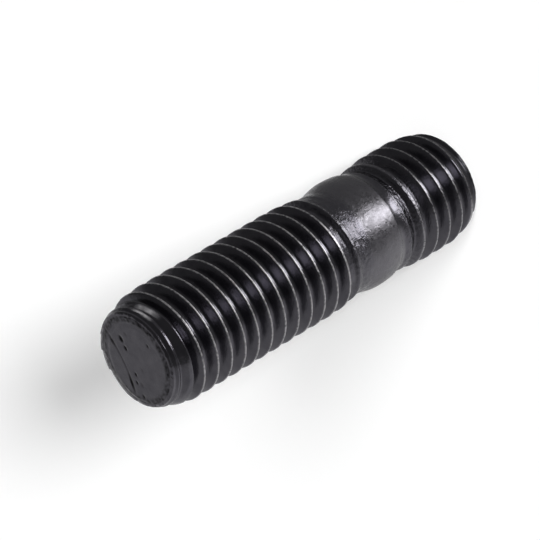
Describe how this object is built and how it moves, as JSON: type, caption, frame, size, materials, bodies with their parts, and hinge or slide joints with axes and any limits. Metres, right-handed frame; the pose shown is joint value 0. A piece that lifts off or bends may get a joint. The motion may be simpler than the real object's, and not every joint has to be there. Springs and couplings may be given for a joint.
{
  "type": "double ended stud",
  "caption": "Headless steel fastener with a long and a short rolled metric thread on either side of a plain barrelled shank.",
  "frame": {"origin": "centre of the flat at the tap end, the end of the short thread", "axes": "+Z along the axis, from the tap end to the nut end; -Y is the side where both threads are measured"},
  "size_m": [0.01, 0.01, 0.035],
  "materials": {
    "black_steel": "black oxide over rolled steel, lightly oiled"
  },
  "bodies": {
    "root": {"stud": "black_steel"}
  },
  "joints": []
}
